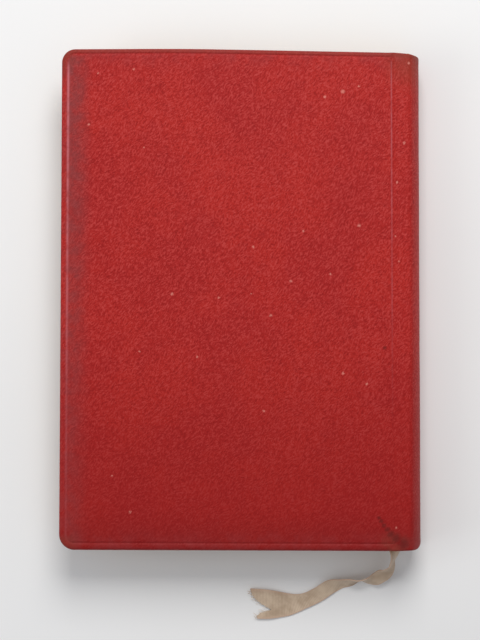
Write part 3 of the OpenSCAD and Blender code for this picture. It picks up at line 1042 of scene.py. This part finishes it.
def sweep_round(points, radius, sides=6):
    """Closed round tube along the points."""
    points = np.asarray(points, float)
    way = np.gradient(points, axis=0)
    way /= np.linalg.norm(way, axis=1)[:, None]
    level = np.cross(way, (0.1, 0.2, 1.0))
    level /= np.linalg.norm(level, axis=1)[:, None]
    upright = np.cross(level, way)
    verts = [
        p + radius * (math.cos(t) * a + math.sin(t) * b)
        for p, a, b in zip(points, level, upright)
        for t in np.arange(sides) * 2 * math.pi / sides
    ]
    return verts, tube_faces(len(points), sides)


def ribbon_tail():
    """The free tail: rolled along its route, and cut to a frayed swallowtail."""
    per_span, lobe_rows = 9, 14
    line = curve_through(TAIL_ROUTE, per_span)
    roll = np.radians(curve_through(TAIL_ROLL, per_span)[:, 0])
    way = np.gradient(line, axis=0)
    way[0] = (0, -1, 0)
    way /= np.linalg.norm(way, axis=1)[:, None]
    level = np.cross(way, (0, 0, 1))
    level /= np.linalg.norm(level, axis=1)[:, None]
    above = np.cross(level, way)
    across = level * np.cos(roll)[:, None] + above * np.sin(roll)[:, None]
    normal = np.cross(across, way)
    length = np.concatenate([[0], np.cumsum(np.linalg.norm(np.diff(line, axis=0), axis=1))])

    cut = int(np.argmin(np.abs(line[:, 0] - NOTCH[0] - 2.5) + (line[:, 1] > -80) * 99))
    ts = np.linspace(-1, 1, 21)
    half = RIBBON_W / 2 * (1 + 0.72 * smooth((length - length[cut] + 8) / 9))
    grid = line[:cut, None] + half[:cut, None, None] * ts[None, :, None] * across[:cut, None]
    curl = 0.12 * waves(length[:cut, None] + 0 * ts, 3 * ts[None] + 0 * length[:cut, None], 4, 31)
    grid = grid + curl[..., None] * normal[:cut, None]
    along = length[:cut, None] + 0 * ts[None]
    turned = np.repeat(normal[:cut, None], len(ts), 1)

    # The two lobes of the swallow-tailed end
    base = grid[-1]
    steps = np.linspace(0, 1, lobe_rows + 1)[1:]
    off = ts - NOTCH_ACROSS
    share = np.where(off > 0, off / (1 - NOTCH_ACROSS), -off / (1 + NOTCH_ACROSS))[:, None]
    tips = np.where(off[:, None] > 0, UPPER_TIP, LOWER_TIP)
    goal = NOTCH + (tips - NOTCH) * share
    goal[:, 0] -= LOBE_BULGE * np.sin(np.pi * share[:, 0])
    lobes = base[None] + (goal - base)[None] * steps[:, None, None]
    bow = np.sin(np.pi * steps)[:, None] * ts[None] * 0.25
    lobes[..., 1] += bow
    lobes[..., 2] += 0.18 * np.sin(np.pi * steps)[:, None] * (1 + ts[None] * 0.5)
    grid = np.concatenate([grid, lobes])
    reach = np.linalg.norm(goal - base, axis=1)
    along = np.concatenate([along, length[cut - 1] + steps[:, None] * reach[None]])
    last = normal[cut - 1][None, None]
    turned = np.concatenate([turned, last.repeat(lobe_rows, 0).repeat(len(ts), 1)])

    grid[..., 2] = np.maximum(grid[..., 2], RIBBON_T / 2 + 0.03)
    thick = RIBBON_T / 2 * (1 + 0.35 * smooth((np.abs(ts) - 0.82) / 0.1))[None, :, None]
    outer, inner = grid + turned * thick, grid - turned * thick
    outer[..., 2] = np.maximum(outer[..., 2], 0.02)
    inner[..., 2] = np.maximum(inner[..., 2], 0.02)
    verts, faces, used = slab(outer, inner)
    wide = np.repeat(ts[None] * RIBBON_W / 2, len(grid), 0)
    along_all = on_slab(used, along)
    across_all = on_slab(used, wide)

    # Frayed threads along the cut
    draw = np.random.default_rng(12)
    parts_v, parts_f = [verts], list(faces)
    count = len(verts)
    for k in range(26):
        upper = k % 2 == 0
        share = draw.uniform(0.03, 0.95)
        tip = UPPER_TIP if upper else LOWER_TIP
        start = NOTCH + (tip - NOTCH) * share + (0.25, 0, 0.05)
        start[0] -= LOBE_BULGE * math.sin(math.pi * share)
        run = draw.uniform(0.6, 2.4) * (1 - 0.5 * share)
        lean = draw.uniform(-0.5, 0.5) + (0.25 if upper else -0.15)
        t = np.linspace(0, 1, 7)
        path = np.stack(
            [
                start[0] - run * t,
                start[1] + run * lean * t + 0.35 * np.sin(t * 3 + k) * t,
                np.maximum(start[2] + draw.uniform(-0.2, 0.35) * t, 0.1),
            ],
            1,
        )
        v, f = sweep_round(path, 0.045)
        parts_v.append(np.array(v))
        parts_f += [[i + count for i in face] for face in f]
        count += len(v)
    extra = count - len(verts)
    along_all = np.concatenate([along_all, np.full(extra, 50.0)])
    across_all = np.concatenate([across_all, np.zeros(extra)])
    piece = make(
        "ribbon_tail_silk", np.concatenate(parts_v), parts_f, RIBBON, "lower_block",
        smooth_deg=50, along=along_all, across=across_all,
    )
    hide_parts("ribbon_tail")


def ribbon_inner():
    """The ribbon between the leaves."""
    lo, hi = low("ribbon_inner"), high("ribbon_inner")
    ys = np.linspace(lo.y, hi.y, 160)
    ts = np.linspace(-1, 1, 11)
    tail_x = lo.x + RIBBON_W / 2
    head_x = hi.x - RIBBON_W / 2
    gy, gt = crossed(ys, ts)
    share = (gy - lo.y) / (hi.y - lo.y)
    x = tail_x + (head_x - tail_x) * share + gt * RIBBON_W / 2
    x = x + 0.12 * waves(0 * gy, gy, 24, 41)
    z = np.full(x.shape, MID - 0.03)
    outer, inner = np.stack([x, gy, z + 0.05], -1), np.stack([x, gy, z - 0.05], -1)
    verts, faces, used = slab(outer, inner)
    along = on_slab(used, gy)
    across = on_slab(used, gt * RIBBON_W / 2)
    piece = make(
        "ribbon_inner_silk", verts, faces, RIBBON, "lower_block", along=along, across=across
    )
    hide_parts("ribbon_inner")


ribbon_tail()
ribbon_inner()

# ---- CAD pieces that stay

KEPT = {
    "cover_board": BOARD,
    "pastedown": ENDPAPER_FIXED,
    "spine_lining": LINING,
    "mull": MULL,
    "tapes": TAPE,
    "sewing": THREAD,
}
for node_name, node in frame["nodes"].items():
    for part, material in KEPT.items():
        if part in node_name:
            node.data.materials.clear()
            node.data.materials.append(material)

# ---- floor, light and camera


def floor():
    s = Shader("floor_pale", 0.9, 0.1)
    at = s.place(moved=False)
    cloudy = s.noise(at, 60, 2)
    colour = s.mix((0.82, 0.82, 0.815), (0.86, 0.855, 0.85), cloudy)
    side = 2000
    mesh = bpy.data.meshes.new("floor")
    corners = [(-side, -side, 0), (side, -side, 0), (side, side, 0), (-side, side, 0)]
    mesh.from_pydata([[c * MM for c in p] for p in corners], [], [(0, 1, 2, 3)])
    mesh.materials.append(s.finish(colour))
    ground = bpy.data.objects.new("floor", mesh)
    bpy.context.scene.collection.objects.link(ground)


def area_light(name, place, size, power, colour):
    data = bpy.data.lights.new(name, "AREA")
    data.shape = "SQUARE"
    data.size = size
    data.energy = power
    data.color = colour
    light = bpy.data.objects.new(name, data)
    light.location = place
    light.rotation_euler = (-Vector(place)).to_track_quat("-Z", "Y").to_euler()
    bpy.context.scene.collection.objects.link(light)


def sky(colour, strength):
    world = bpy.data.worlds.new("studio")
    world.use_nodes = True
    background = world.node_tree.nodes["Background"]
    background.inputs["Color"].default_value = (*colour, 1)
    background.inputs["Strength"].default_value = strength
    bpy.context.scene.world = world


LENS = 90.745
CAMERA_AT = (0.01237, -0.0274, 0.46218)
CAMERA_TURN = (2.704, 1.595, 0.061)


def camera():
    data = bpy.data.cameras.new("camera")
    data.lens = LENS
    data.sensor_width = 36
    data.clip_start = 0.01
    cam = bpy.data.objects.new("camera", data)
    cam.location = CAMERA_AT
    cam.rotation_euler = [math.radians(angle) for angle in CAMERA_TURN]
    bpy.context.scene.collection.objects.link(cam)
    bpy.context.scene.camera = cam


floor()
area_light("key", (0.06, 0.4, 0.47), 0.34, 2.75, (1.0, 0.985, 0.965))
area_light("left", (-0.48, -0.1, 0.34), 0.34, 0.75, (0.93, 0.97, 1.0))
sky((0.95, 0.96, 1.0), 0.42)
camera()
bpy.context.scene.view_settings.view_transform = "Standard"
